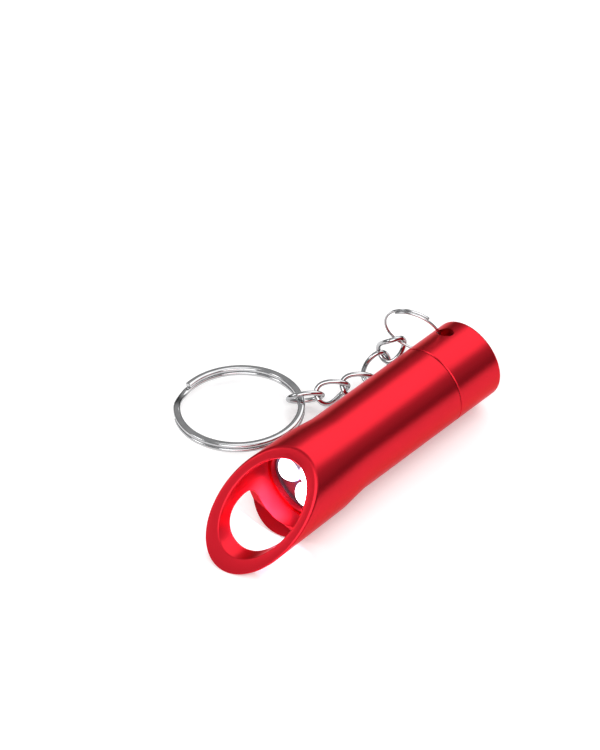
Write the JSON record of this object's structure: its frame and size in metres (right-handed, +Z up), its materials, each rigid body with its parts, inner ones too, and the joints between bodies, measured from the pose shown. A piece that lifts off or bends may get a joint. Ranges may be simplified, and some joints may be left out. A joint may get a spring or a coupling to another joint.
{
  "type": "keychain flashlight",
  "caption": "Small round keychain flashlight with a slanted bottle-opener mouth round its LEDs, a twist tail cap, a short chain and a split key ring.",
  "frame": {"origin": "centre of the flat tail face, on the barrel's axis", "axes": "+X along the barrel from the tail to the mouth, +Z up with the barrel lying and the opener's tip turned 12 degrees from straight down, chain and ring on the -Y side"},
  "size_m": [0.063, 0.0451, 0.0191],
  "materials": {
    "red_anodised_aluminium": "satin red anodised",
    "black_rubber": "smooth black rubber",
    "spring_steel": "bright spring wire",
    "card_sleeve": "plain off-white sleeve",
    "cell_steel": "nickel-plated can",
    "green_laminate": "green solder mask",
    "black_ceramic": "matt black",
    "dark_red_plastic": "dull dark red",
    "clear_epoxy": "water-clear, lit white",
    "tinned_wire": "tinned",
    "nickel_plate": "bright nickel plate"
  },
  "bodies": {
    "barrel_body": {"barrel": "red_anodised_aluminium", "battery_sleeve": "card_sleeve", "button_cell_1": "cell_steel", "button_cell_2": "cell_steel", "button_cell_3": "cell_steel", "button_cell_4": "cell_steel", "front_spring": "spring_steel", "circuit_board": "green_laminate", "resistor": "black_ceramic", "led_holder": "dark_red_plastic", "led_1": "clear_epoxy", "led_2": "clear_epoxy", "led_3": "clear_epoxy", "led_leads": "tinned_wire"},
    "carrier": {"tail_spring": "spring_steel"},
    "cap": {"tail_cap": "red_anodised_aluminium", "o_ring": "black_rubber"},
    "cap_ring": {"cap_ring": "nickel_plate"},
    "link_1": {"chain_link_1": "nickel_plate"},
    "link_2": {"chain_link_2": "nickel_plate"},
    "link_3": {"chain_link_3": "nickel_plate"},
    "link_4": {"chain_link_4": "nickel_plate"},
    "link_5": {"chain_link_5": "nickel_plate"},
    "key_ring": {"key_ring": "nickel_plate"}
  },
  "joints": [
    {"name": "cap_travel", "type": "slide", "parent": "barrel_body", "child": "carrier", "axis": [-1, 0, 0], "range_m": [0, 0.00601]},
    {"name": "cap_twist", "type": "hinge", "parent": "carrier", "child": "cap", "pos_m": [0, 0, 0], "axis": [-1, 0, 0], "range_deg": [0, 2880]},
    {"name": "ring_swing", "type": "hinge", "parent": "cap", "child": "cap_ring", "pos_m": [0.00393, -0.00483, 0.00302], "axis": [0, 0.5299, 0.848], "range_deg": [-60, 9]},
    {"name": "link_1_swing", "type": "hinge", "parent": "cap_ring", "child": "link_1", "pos_m": [0.00616, -0.01177, 0.00122], "axis": [0.4162, -0.6649, 0.6202], "range_deg": [-26, 11]},
    {"name": "link_2_swing", "type": "hinge", "parent": "link_1", "child": "link_2", "pos_m": [0.00759, -0.01392, -0.00348], "axis": [-0.0848, -0.8988, 0.4301], "range_deg": [-22, 34]},
    {"name": "link_3_swing", "type": "hinge", "parent": "link_2", "child": "link_3", "pos_m": [0.01205, -0.01327, -0.0061], "axis": [0.0514, -0.9973, -0.0529], "range_deg": [-50, 36]},
    {"name": "link_4_swing", "type": "hinge", "parent": "link_3", "child": "link_4", "pos_m": [0.01688, -0.01503, -0.00539], "axis": [-0.2758, -0.6998, 0.6589], "range_deg": [-50, 20]},
    {"name": "link_5_swing", "type": "hinge", "parent": "link_4", "child": "link_5", "pos_m": [0.02163, -0.01688, -0.00523], "axis": [-0.3013, -0.7245, 0.62], "range_deg": [-50, 25]},
    {"name": "key_ring_swing", "type": "hinge", "parent": "link_5", "child": "key_ring", "pos_m": [0.02521, -0.02049, -0.00584], "axis": [0.4072, 0.3039, 0.8613], "range_deg": [-7, 11]}
  ],
  "couplings": [
    {"joint": "cap_travel", "follows": "cap_twist", "m_per_rad": 0.00011937}
  ]
}
